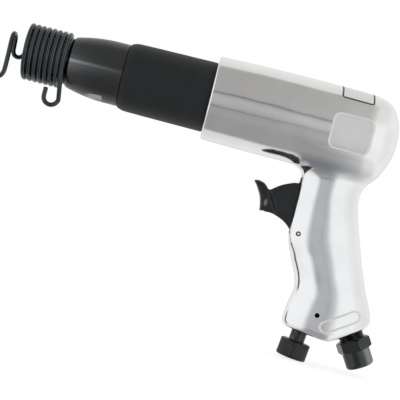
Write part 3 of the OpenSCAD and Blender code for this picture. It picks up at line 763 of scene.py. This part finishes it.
def make_regulator():
    knob_r = 9.5
    neck = 6.7
    top = neck + 10.65
    neck_r = 4.9
    teeth = 42
    knurl = 0.34
    groove = pin_r + 0.3
    groove_r = plug_pin_at - pin_r - 0.2
    plug_len = 17.7
    meter_r = 4
    meter_end = 29

    def relief(along, radius, angle):
        grip_zone = (radius > knob_r - 0.01) & (along > neck + 0.9) & (along < top - 1.4)
        lead = along * teeth / (2 * knob_r)
        a = zigzag(angle * teeth / tau + lead / pi)
        b = zigzag(angle * teeth / tau - lead / pi)
        return radius - knurl * np.minimum(a + b, 1) * grip_zone

    profile = [(top - 0.5, 0.02), (top - 0.45, 3), (top - 0.2, 5), (top, 6), (top, 7.9)]
    profile += arc((top - 1.2, knob_r - 1.2), 1.2, 0, 90, 6)
    profile += [(z, knob_r) for z in np.linspace(top - 1.35, neck + 0.85, 56)]
    profile += [(neck + 0.8, knob_r), (neck + 0.25, knob_r - 0.25), (neck, knob_r - 0.8)]
    profile += [(neck, neck_r + 0.3), (neck - 0.3, neck_r), (0, neck_r), (-0.8, plug_r)]
    high, low = groove - plug_pin_depth, -groove - plug_pin_depth
    profile += [(high, plug_r), (high, groove_r), (low, groove_r), (low, plug_r)]
    profile += [(-plug_len, plug_r), (-plug_len, meter_r), (-meter_end, meter_r), (-meter_end, 0.02)]
    return smooth(lathe("regulator_knob", AT_REGULATOR, profile, 420, relief), 40)


def make_inlet():
    neck_r = 7.9
    neck = 4
    hex_h = 7
    hex_turn = 19
    across = 19.1
    collar_r = 8.7
    collar_round = 2.2
    bore_r = 4.6
    thread_len = 12
    hex_r = across / 2 / cos(radians(30))
    outer = [(-thread_len, bore_r), (-thread_len, neck_r - 0.6)]
    outer += [(z, neck_r) for z in np.arange(-thread_len + 0.4, neck + 1.2, 0.16)]
    outer += [(neck + 1.3, bore_r)]
    neck_thread = thread(pitch=1.3, depth=0.55, low=-thread_len, high=neck - 0.5)
    neck_part = lathe("inlet_fitting", AT_INLET, outer, 96, neck_thread)
    prism = [(neck, bore_r), (neck, hex_r), (neck + hex_h, hex_r), (neck + hex_h, bore_r)]
    spin = np.array(Matrix.Rotation(radians(hex_turn), 4, "Z"))
    hexagon = lathe("inlet_hexagon", AT_INLET @ spin, prism, 6)
    bevel_r = across / 2 - 0.15
    dish = [
        (neck - 0.01, 0.02), (neck - 0.01, bevel_r), (neck + 1.0, hex_r + 0.15),
        (neck + hex_h - 1.0, hex_r + 0.15), (neck + hex_h + 0.01, bevel_r), (neck + hex_h + 0.01, 0.02)
    ]
    combine(hexagon, [lathe("cut", AT_INLET, dish, 128)], "INTERSECT")
    start = neck + hex_h - 0.2
    mouth = inlet_len
    bend = mouth - collar_round
    collar = [(start, hose_r), (start, collar_r), (bend, collar_r)]
    collar += arc((bend, collar_r - collar_round), collar_round, 90, 20, 8)[1:]
    collar += [(mouth, collar_r - 2.3), (mouth, hose_r + 0.5), (mouth - 0.5, hose_r)]
    collar += [(z, hose_r) for z in np.arange(mouth - 0.7, start + 0.1, -0.16)]
    relief = thread(pitch=1.337, depth=0.5, low=start, high=mouth - 0.6, outward=-1)

    def inner_thread(along, radius, angle):
        return np.where(radius < hose_r + 0.01, relief(along, radius, angle), radius)

    collar_part = lathe("inlet_collar", AT_INLET, collar, 96, inner_thread)
    return [smooth(part, 28) for part in (neck_part, hexagon, collar_part)]


regulator = make_regulator()
inlet = make_inlet()


def make_roll_pin(name, centre, half):
    """Split roll pin across the grip: a wall rolled almost shut, with bevelled ends."""
    inner = 0.85
    angles = np.radians(np.linspace(100, 100 + 338, 40))
    rows = [(-half, pin_r - 0.25), (-half + 0.4, pin_r), (half - 0.4, pin_r), (half, pin_r - 0.25)]
    rows += [(half, inner), (-half, inner)]
    points = [centre + np.array([r * cos(a), y, r * sin(a)]) for a in angles for y, r in rows]
    return smooth(new_object(name, points, tube(len(angles), len(rows))), 35)


def make_domed_pin(name, centre, half):
    """Solid pin across the grip, turned down at its ends and domed."""
    tip_r = 1.12
    shoulder = half - 1.2
    angles = np.radians(np.linspace(0, 89, 7))
    dome = [(half - 0.45 + 0.35 * sin(a), tip_r * cos(a)) for a in angles]
    end = [(shoulder, pin_r), (shoulder, tip_r)] + dome
    profile = [(-along, radius) for along, radius in end[::-1]] + end
    vertices, faces = turned(profile[::-1], 40)
    points = centre + np.stack([vertices[:, 0], vertices[:, 2], -vertices[:, 1]], -1)
    return smooth(new_object(name, points, faces), 35)


trigger_pin = make_domed_pin("trigger_pivot_pin", pivot, half=11.9)
regulator_pin = make_roll_pin("regulator_roll_pin", plug_pin, half=7.6)

# Plain plate over the top of the housing and a plain raised frame on the grip, where marks would be


def edged(count, border):
    """Places from -1 to 1, with the first and last steps as wide as a border."""
    return np.concatenate([[-1], np.linspace(border - 1, 1 - border, count - 1), [1]])


def make_top_plate():
    """Thin plate rolled over the housing, and its outermost faces, which get a dark border."""
    start, end = trig_x + 9.8, trig_x + 30.4
    reach = radians(46)
    border = 1
    corner = 1.6
    thickness = 0.22
    sunk = 0.06
    rows, columns = 24, 44
    length = (end - start) / 2
    width = reach * housing_r
    along = edged(rows, border / length)
    around = edged(columns, border / width)
    grid = []
    for layer, s, t in itertools.product((0, thickness), along, around):
        over = max(abs(t) * width - width + corner, 0)
        shrink = corner - sqrt(max(corner ** 2 - over ** 2, 0))
        x = (start + end) / 2 + s * (length - shrink)
        r = float(side_r(x)) + layer - sunk
        grid.append((x, r * sin(t * reach), r * cos(t * reach)))
    at = np.arange(len(grid) // 2).reshape(rows + 1, columns + 1)
    faces = []
    dark = []
    for i, j in itertools.product(range(rows), range(columns)):
        quad = np.array([at[i, j], at[i, j + 1], at[i + 1, j + 1], at[i + 1, j]])
        if i in (0, rows - 1) or j in (0, columns - 1):
            dark.append(len(faces) + 1)
        faces += [quad, quad[::-1] + at.size]
    flat = np.concatenate([at[0, :-1], at[:-1, -1], at[-1, :0:-1], at[:0:-1, 0]])
    dark += range(len(faces), len(faces) + len(flat))
    faces += [(a, a + at.size, b + at.size, b) for a, b in zip(flat, np.roll(flat, -1))]
    return smooth(new_object("top_plate", grid, faces), 30), dark


def on_housing(x, z):
    """Y of the photographed side straight behind (x, z), found by steps from outside."""
    outside = -40.0
    share = 0.8
    y = np.full(np.shape(x), outside)
    for _ in range(60):
        y = y + share * housing_distance(x, y, z)
    return y


def rim_on_housing(name, outline, radius, sunk):
    """Round rim sunk into the photographed side along a closed outline of (x, z) pairs."""
    spacing = 0.6
    overlap = 4
    steps = []
    for (a, b), (c, d) in zip(outline, outline[1:] + outline[:1]):
        count = max(int(hypot(c - a, d - b) / spacing), 1)
        steps += [(a + (c - a) * k / count, b + (d - b) * k / count) for k in range(count)]
    x, z = np.array(steps + steps[:overlap]).T
    return swept(name, np.stack([x, on_housing(x, z) + sunk, z], -1), radius, 12, 60)


def make_plain_frame():
    centre = (trig_x + 42.85, -114.1)
    half_len, half_w = 9.6, 3.4
    tilt = radians(33)
    right = arc((half_len, 0), half_w, -90, 90, 13)
    turn = np.array([(cos(tilt), sin(tilt)), (-sin(tilt), cos(tilt))])
    outline = np.array(right + [(-u, -v) for u, v in right]) @ turn + centre
    return rim_on_housing("plain_frame", outline.tolist(), radius=0.75, sunk=0.3)


def make_badge_rim():
    outside = 0.1
    corner = badge_corner + outside
    across = badge_half[0] + outside - corner
    up = badge_half[1] + outside - corner
    outline = []
    for u, v, start in ((1, 1, 0), (-1, 1, 90), (-1, -1, 180), (1, -1, 270)):
        outline += arc((badge_at[0] + u * across, badge_at[1] + v * up), corner, start, start + 90, 9)
    return rim_on_housing("badge_rim", outline, radius=0.8, sunk=0.402)


top_plate, plate_border = make_top_plate()
plain_frame = make_plain_frame()
badge_rim = make_badge_rim()

# Materials


def clean_tree(owner):
    owner.use_nodes = True
    owner.node_tree.nodes.clear()
    return owner.node_tree


def node(tree, kind, inputs=None, **settings):
    made = tree.nodes.new("ShaderNode" + kind)
    for key, value in settings.items():
        setattr(made, key, value)
    for key, value in (inputs or {}).items():
        if isinstance(value, bpy.types.NodeSocket):
            tree.links.new(value, made.inputs[key])
        else:
            made.inputs[key].default_value = value
    return made


def span(tree, value, *ends):
    """Carries a value from between the first two ends to between the last two, and holds it there."""
    names = ("From Min", "From Max", "To Min", "To Max")
    return node(tree, "MapRange", {"Value": value, **dict(zip(names, ends))}).outputs["Result"]


def rise(tree, value, low, high):
    return span(tree, value, low, high, 0, 1)


def fall(tree, value, low, high):
    return span(tree, value, low, high, 1, 0)


def mix(tree, factor, a, b):
    return node(tree, "Mix", {0: factor, 6: a, 7: b}, data_type="RGBA").outputs[2]


def grey(level, tint=(1, 1, 1)):
    return (*(level * part for part in tint), 1)


def noise(tree, where, scale, detail=4.0, stretch=(1, 1, 1)):
    moved = node(tree, "Mapping", {"Vector": where, "Scale": stretch}).outputs["Vector"]
    inputs = {"Vector": moved, "Scale": scale, "Detail": detail, "Roughness": 0.55}
    return node(tree, "TexNoise", inputs).outputs["Fac"]


def maths(tree, operation, a, b=0.0):
    return node(tree, "Math", {0: a, 1: b}, operation=operation).outputs[0]


def vectors(tree, operation, a, b=(0, 0, 0)):
    return node(tree, "VectorMath", {0: a, 1: b}, operation=operation).outputs


def split(tree, where):
    return node(tree, "SeparateXYZ", {0: where}).outputs


def times(tree, product, *factors):
    for factor in factors:
        product = maths(tree, "MULTIPLY", product, factor)
    return product


def away(tree, value, centre=0):
    """How far a value lies from a centre."""
    return maths(tree, "ABSOLUTE", maths(tree, "SUBTRACT", value, centre))


def ramp(tree, value, stops):
    """Colour by a value from -1 to 1, through (value, colour) stops."""
    made = node(tree, "ValToRGB", {"Fac": span(tree, value, -1, 1, 0, 1)})
    elements = made.color_ramp.elements
    elements.remove(elements[1])
    elements[0].position = (stops[0][0] + 1) / 2
    for place_at, _ in stops[1:]:
        elements.new((place_at + 1) / 2)
    for element, (_, colour) in zip(elements, stops):
        element.color = colour
    return made.outputs["Color"]


def finish(name, dark, light, metallic, rough, grain, bump, streak=(1, 1, 1), wear=None, specular=0.5,
           wave=0, painted_light=None):
    """Procedural finish: cloudy colour, varied roughness, grain in the bump and worn edges. wave adds
    ripples. The last argument takes places in millimetres and gives a mask and a colour of painted light
    or shade to lay over the rest."""
    cloud_scale, scuff_scale, ripple_scale = 60, 700, 55
    made = bpy.data.materials.new(name)
    tree = clean_tree(made)
    where = node(tree, "TexCoord").outputs["Object"]
    fine = noise(tree, where, grain, 6, streak)
    colour = mix(tree, rise(tree, noise(tree, where, cloud_scale, 5), 0.3, 0.7), dark, light)
    if wear:
        sharp = rise(tree, node(tree, "NewGeometry").outputs["Pointiness"], 0.53, 0.62)
        scuff = rise(tree, noise(tree, where, scuff_scale, 3), 0.4, 0.7)
        colour = mix(tree, times(tree, sharp, scuff), colour, wear)
    if painted_light:
        mask, paint = painted_light(tree, vectors(tree, "MULTIPLY", where, (1 / MM,) * 3)["Vector"])
        colour = mix(tree, mask, colour, paint)
    roughness = span(tree, fine, 0.3, 0.7, rough[0], rough[1])
    grained = {"Height": fine, "Strength": bump, "Distance": 0.2 * MM}
    normal = node(tree, "Bump", grained).outputs["Normal"]
    if wave:
        ripple = noise(tree, where, ripple_scale, 1, (0.6, 1, 1.2))
        rippled = {"Height": ripple, "Strength": wave, "Distance": 2 * MM, "Normal": normal}
        normal = node(tree, "Bump", rippled).outputs["Normal"]
    inputs = {"Base Color": colour, "Metallic": metallic, "Roughness": roughness, "Normal": normal}
    inputs["Specular IOR Level"] = specular
    shader = node(tree, "BsdfPrincipled", inputs)
    node(tree, "OutputMaterial", {"Surface": shader.outputs["BSDF"]})
    return made


def fillet_painted_shade(tree, where):
    """Painted shade: a darker, cooler colour in the hollow between the body and the grip, from a little
    ahead of the grip back to its rear.
    """
    x, _, z = split(tree, where)
    level = times(tree, fall(tree, z, -23.5, -18.5), rise(tree, z, -30.5, -25.5))
    front = rise(tree, x, trig_x - 11, trig_x - 3)
    rear = fall(tree, x, trig_x + 30, trig_x + 43)
    return times(tree, level, front, rear), grey(0.54, cool)


def nose_painted_light(tree, where):
    """Painted highlight along the near side of the nose, fading to the rear, painted highlights on the
    wrench flats, and painted light on the neck, which lifts the shade behind the spring's coils.
    """
    x, y, z = split(tree, where)
    # Painted highlight: a bright line at the middle height of the near side, with a broader painted sheen just
    # below it, fading to the rear.
    line = span(tree, away(tree, z), 0.1, 1.8, 0.85, 0)
    glow = span(tree, away(tree, z, -1.5), 0.5, 6, 0.24, 0)
    line = maths(tree, "MAXIMUM", line, glow)
    line = times(tree, line, fall(tree, y, -6, -4), fall(tree, x, 30, 68))
    # Painted highlight on both wrench flats towards their rear ends, broken up by noise.
    turn = radians(flats_turn)
    reach = vectors(tree, "DOT_PRODUCT", where, (0, -sin(turn), cos(turn)))["Value"]
    flat = fall(tree, away(tree, away(tree, reach), flats / 2), 0.03, 0.08)
    flat = times(tree, flat, rise(tree, x, 36, 46), fall(tree, x, 52, 53.5))
    flat = times(tree, flat, span(tree, noise(tree, where, 0.26, 3), 0.35, 0.6, 0.3, 0.8))
    # Painted light on the neck behind the spring, so that the gaps between its coils read less dark.
    neck = times(tree, span(tree, x, 26.6, 27, 0.5, 0), rise(tree, x, 0.8, 1.5))
    marks = maths(tree, "MAXIMUM", line, flat)
    return maths(tree, "MAXIMUM", marks, neck), grey(0.42)


def collar_painted_reflection(tree, where):
    """Painted reflection: a lighter band along one side of the inlet's collar, on the near side."""
    across = Vector(AT_INLET[:3, 0])
    reach = vectors(tree, "DOT_PRODUCT", where, tuple(across))["Value"]
    band = away(tree, reach, float(across.dot(Vector(inlet_at))) - 5.8)
    near = fall(tree, split(tree, where)["Y"], -2, 2)
    return times(tree, span(tree, band, 0.5, 3, 0.8, 0), near), grey(0.3)


def pad_painted_highlight(tree, where):
    """Painted highlight: a lighter spot low on the finger pad."""
    spot = (trig_x - 18.7, 0, -under - 27.6)
    off = vectors(tree, "SUBTRACT", where, spot)["Vector"]
    scaled = vectors(tree, "MULTIPLY", off, (1, 0, 0.5))["Vector"]
    return fall(tree, vectors(tree, "LENGTH", scaled)["Value"], 0.1, 1.4), grey(0.3)


cool = (0.94, 1, 1.06)
warm = (1, 0.99, 0.97)
cream = (1, 0.98, 0.945)
mauve = (1, 0.985, 1.01)
icy = (0.965, 0.99, 1.04)
frost = (0.985, 0.998, 1.01)
blued = (0.86, 1, 1.1)
along_x = (0.3, 1, 1)
# The casting's colour carries painted shade in the hollow between the body and the grip.
polished = finish("polished_casting", grey(0.86), grey(0.92), 1, (0.10, 0.16), 900, 0.03, along_x,
                  wave=0.2, painted_light=fillet_painted_shade)
# Light satin finish of the rims, also laid on the trigger pin's domed ends as a painted highlight.
rim = finish("buffed_rim_and_pin_highlight", grey(0.92), grey(0.97), 0.3, (0.26, 0.36), 1200, 0.05)
# Dark metal for the machine-finished base face: painted shade along the grip's bottom edge.
machined_and_shaded = finish("machined_base_painted_shade", grey(0.3), grey(0.38), 1, (0.3, 0.4), 1500, 0.1)
blasted = finish("blasted_casting", grey(0.84), grey(0.9), 0.4, (0.5, 0.64), 2600, 0.25)
# The nose's colour carries painted highlights, and painted light on its neck.
black_steel = finish("black_oxide_steel", grey(0.07), grey(0.085, cool), 1, (0.26, 0.36), 1400, 0.06,
                     along_x, wear=grey(0.3), painted_light=nose_painted_light)
wire_steel = finish("black_wire", grey(0.062, blued), grey(0.09, blued), 1, (0.24, 0.32), 1600, 0.06)
moulded = finish("matt_sleeve", grey(0.0165, blued), grey(0.0205, blued), 0, (0.5, 0.6), 2400, 0.12,
                 specular=0.3)
# The trigger's colour carries a painted highlight low on its finger pad.
lever = finish("moulded_trigger", grey(0.014, blued), grey(0.018, blued), 0, (0.3, 0.4), 2000, 0.08,
               wear=grey(0.04), specular=0.4, painted_light=pad_painted_highlight)
smooth_black = (grey(0.06), grey(0.07, cool), 1, (0.2, 0.26), 1500, 0.02)
fitting = finish("black_fitting", *smooth_black)
# The collar's colour carries a painted reflection along one side.
collar_finish = finish("collar_with_painted_reflection", *smooth_black, painted_light=collar_painted_reflection)
knurled = finish("knurled_knob", grey(0.05), grey(0.06, cool), 1, (0.34, 0.42), 1500, 0.02,
                 wear=grey(0.22))
bright = finish("ground_steel", grey(0.52), grey(0.62), 1, (0.24, 0.36), 1200, 0.06, (0.2, 1, 1))
brass = finish("turned_brass", (0.62, 0.45, 0.18, 1), (0.74, 0.56, 0.26, 1), 1, (0.26, 0.38), 1200, 0.06)
rubber = finish("seal_rubber", grey(0.012), grey(0.018), 0, (0.55, 0.7), 2200, 0.15, specular=0.3)
# Near-black: painted shade on the walls of the bores and the trigger slot and on the trigger pin's sides, and the
# roll pin's own dark steel.
shade_and_dark_steel = finish("painted_shade_and_dark_steel", grey(0.03), grey(0.05), 0.6, (0.5, 0.7), 1500, 0.2)
plate = finish("blank_plate", grey(0.93, warm), grey(0.97, warm), 0, (0.4, 0.5), 1800, 0.04)
plate_edge = finish("plate_border", grey(0.05), grey(0.07), 0.2, (0.4, 0.5), 1800, 0.04)


def dress(obj, material):
    obj.data.materials.clear()
    obj.data.materials.append(material)


def paint_housing():
    """Blasted badge floor, and painted shade: a dark, machine-finished base face along the grip's bottom
    edge, and near-black walls in the slot and bores.
    """
    near = 0.3
    base_face = 0.6
    base_depth = 60
    mesh = housing.data
    for material in (blasted, shade_and_dark_steel, machined_and_shaded):
        mesh.materials.append(material)
    x, y, z = fetch(mesh.polygons, "center").T / MM
    index = np.zeros(len(x), np.int32)
    index[badge_distance(x, y, z) < near] = 1
    # Base face and its rounding near the base plane: painted shade along the grip's bottom edge.
    index[(z < -under - base_depth) & (np.abs(z - base_z(x)) < base_face)] = 3
    # Painted shade on the walls of the bores and the trigger slot.
    index[housing_distance(x, y, z) < -near] = 2
    index[(np.abs(slot_distance(x, y, z)) < 0.1) & (x > trig_x + 0.5)] = 2
    mesh.polygons.foreach_set("material_index", index)


def paint_pin():
    """Painted shade on the sides and shoulders of the trigger's pin, darkening the ring round it, and a
    painted highlight on its domed ends.
    """
    dome_r = 0.85
    mesh = trigger_pin.data
    mesh.materials.append(shade_and_dark_steel)
    mesh.materials.append(rim)
    for face in mesh.polygons:
        off = Vector((face.center.x, face.center.z)) / MM - Vector((pivot[0], pivot[2]))
        face.material_index = 1 if off.length > dome_r else 2


pieces = [
    (housing, "body", polished, "aluminium", ["housing"]),
    (barrel, "body", black_steel, "black_steel", ["barrel"]),
    (sleeve, "body", moulded, "sleeve", ["barrel_sleeve"]),
    (spring, "retainer", wire_steel, "spring_steel", ["retainer_spring"]),
    (trigger, "trigger", lever, "trigger", ["trigger"]),
    (throttle_coil, "body", wire_steel, "spring_steel", ["throttle_spring"]),
    (regulator, "regulator", knurled, "black_steel", ["air_regulator"]),
    (inlet[0], "body", fitting, "black_steel", ["inlet_bushing"]),
    (inlet[1], "body", fitting, "black_steel", []),
    (inlet[2], "body", collar_finish, "black_steel", []),
    (trigger_pin, "body", bright, "bright_steel", ["trigger_pin"]),
    (regulator_pin, "body", shade_and_dark_steel, "bright_steel", ["regulator_pin"]),
    (top_plate, "body", plate, "aluminium", []),
    (plain_frame, "body", rim, "aluminium", []),
    (badge_rim, "body", rim, "aluminium", []),
]
for obj, body, material, slot_name, replaced in pieces:
    dress(obj, material)
    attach(obj, body)
    if replaced:
        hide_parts(*replaced)
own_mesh(throttle_coil)
paint_housing()
paint_pin()
top_plate.data.materials.append(plate_edge)
for index in plate_border:
    top_plate.data.polygons[index].material_index = 1

inner_pieces = [
    (bright, ("piston", "valve_block", "valve_disc", "valve_cap", "valve_dowels", "throttle_valve")),
    (rubber, ("valve_gasket", "barrel_o_ring", "throttle_stem_seal", "throttle_valve_seal")),
    (rubber, ("regulator_o_ring", "inlet_seal")),
    (brass, ("throttle_bushing", "inlet_screen")),
]
for material, names in inner_pieces:
    for name in names:
        dress(frame["nodes"][name], material)

# Camera, rolled as the photograph shows the tool

roll = radians(14.3)
right = Vector((cos(roll), 0, sin(roll)))
upward = Vector((-sin(roll), 0, cos(roll)))
back = Vector((0, -1, 0))
view_centre = Vector((0.1269, 0, -0.06305))
view_width = 0.248
distance_back = 0.79
sensor = 36
camera_data = bpy.data.cameras.new("camera")
camera_data.sensor_width = sensor
camera_data.lens = sensor * distance_back / view_width
camera = bpy.data.objects.new("camera", camera_data)
camera.matrix_world = Matrix((right, upward, back)).transposed().to_4x4()
camera.location = view_centre + back * distance_back
scene.collection.objects.link(camera)
scene.camera = camera

# Studio: white all round, with a grey gap in front as between two soft boxes

gap_stops = [
    (-0.99, grey(0.34, mauve)), (-0.85, grey(0.335, mauve)), (-0.6, grey(0.37)), (-0.35, grey(0.35)),
    (0, grey(0.47)), (0.25, grey(0.40)), (0.6, grey(0.41, warm))
]
flag_turn = radians(114)


def make_world():
    """Light by direction: the gap with two dark streaks, the white with shaded ends and a dark edge."""
    world = bpy.data.worlds.new("studio")
    scene.world = world
    tree = clean_tree(world)
    where = node(tree, "TexCoord").outputs["Generated"]
    x, y, z = split(tree, where)
    left = rise(tree, x, -0.6, -0.42)
    right = times(tree, fall(tree, x, 0.12, 0.31), span(tree, x, 0.03, 0.09, 1, 0.92))
    shade = times(tree, left, right, fall(tree, y, 0.1, 0.24))
    aside = rise(tree, away(tree, x), 0.01, 0.09)
    level = times(tree, rise(tree, z, -0.3, -0.1), fall(tree, z, 0.05, 0.2))
    gap = mix(tree, times(tree, level, aside), ramp(tree, z, gap_stops), grey(0.5, icy))
    upper = span(tree, away(tree, z, 0.264), 0, 0.07, 0.75, 0)
    lower = span(tree, away(tree, z, -0.339), 0, 0.055, 0.45, 0)
    for streak in (upper, times(tree, lower, span(tree, x, 0.02, 0.14, 1, 0.3))):
        gap = mix(tree, streak, gap, grey(0.06))
    white = mix(tree, aside, grey(0.95), grey(0.965, frost))
    white = mix(tree, rise(tree, away(tree, z), 0.4, 0.75), white, grey(0.8, cream))
    for axis, start, end, tone in ((y, 0.4, 0.8, 0.86), (x, 0.75, 1, 0.84), (y, 0.86, 0.95, 0.76)):
        white = mix(tree, rise(tree, axis, start, end), white, grey(tone))
    side = (cos(flag_turn), -sin(flag_turn), 0)
    off_plane = away(tree, vectors(tree, "DOT_PRODUCT", where, side)["Value"])
    edge = times(tree, fall(tree, off_plane, 0.08, 0.15), fall(tree, x, -0.5, -0.3))
    edge = times(tree, edge, span(tree, away(tree, z, -0.3), 0.2, 0.38, 0.95, 0))
    white = mix(tree, edge, white, grey(0.02))
    studio = mix(tree, shade, white, gap)
    seen = node(tree, "LightPath").outputs["Is Camera Ray"]
    colour = mix(tree, seen, studio, grey(1))
    surface = node(tree, "Background", {"Color": colour, "Strength": 1})
    node(tree, "OutputWorld", {"Surface": surface.outputs["Background"]})


def make_floor():
    low = min(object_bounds()[0][2], cad_box[0][2])
    size = 6.0
    corners = [(-size, -size, low), (size, -size, low), (size, size, low), (-size, size, low)]
    floor = new_object("floor", corners, [(0, 1, 2, 3)], 1.0)
    material = bpy.data.materials.new("pale_floor")
    tree = clean_tree(material)
    path = node(tree, "LightPath").outputs
    matt = node(tree, "BsdfDiffuse", {"Color": grey(0.8)}).outputs["BSDF"]
    pale = node(tree, "BsdfDiffuse", {"Color": grey(0.3)}).outputs["BSDF"]
    glow = node(tree, "Emission", {"Color": grey(1.0), "Strength": 0.82}).outputs["Emission"]
    seen = node(tree, "AddShader", {0: pale, 1: glow}).outputs[0]
    plain = node(tree, "MixShader", {0: path["Is Camera Ray"], 1: matt, 2: seen}).outputs[0]
    clear = node(tree, "BsdfTransparent").outputs["BSDF"]
    surface = node(tree, "MixShader", {0: path["Is Glossy Ray"], 1: plain, 2: clear}).outputs[0]
    node(tree, "OutputMaterial", {"Surface": surface})
    dress(floor, material)


make_world()
make_floor()
scene.view_settings.view_transform = "Standard"
